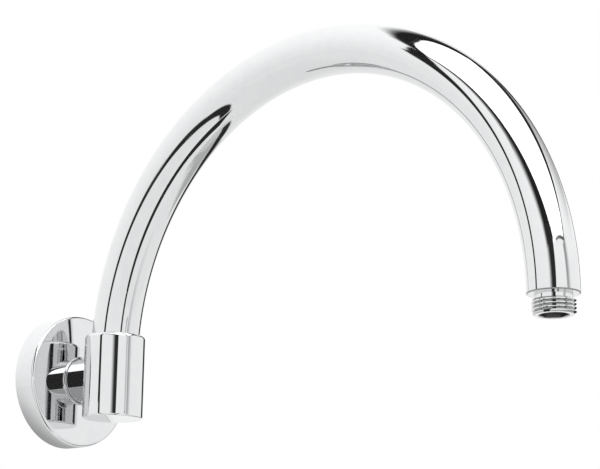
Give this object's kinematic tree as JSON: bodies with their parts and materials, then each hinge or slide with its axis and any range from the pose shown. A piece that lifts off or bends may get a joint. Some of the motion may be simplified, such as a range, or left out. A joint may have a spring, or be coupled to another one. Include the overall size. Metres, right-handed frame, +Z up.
{
  "type": "shower arm",
  "caption": "Wall shower arm: round flange, short neck and upright hub carry a tube bent in a half circle to a threaded outlet that points down.",
  "frame": {"origin": "on the inlet thread's axis, in the plane of the wall that the flange's rim lies on", "axes": "+X out of the wall along the neck, +Z up; the tube is bent in the XZ plane and its outlet points down"},
  "size_m": [0.3528, 0.07, 0.2017],
  "materials": {
    "chrome_plate": "mirror-polished chrome plate on brass",
    "seal_rubber": "matt black rubber"
  },
  "bodies": {
    "root": {"wall_flange": "chrome_plate", "flange_o_ring": "seal_rubber", "inlet_neck": "chrome_plate", "hub": "chrome_plate", "arm_tube": "chrome_plate", "outlet_bush": "chrome_plate", "outlet_nipple": "chrome_plate"}
  },
  "joints": []
}
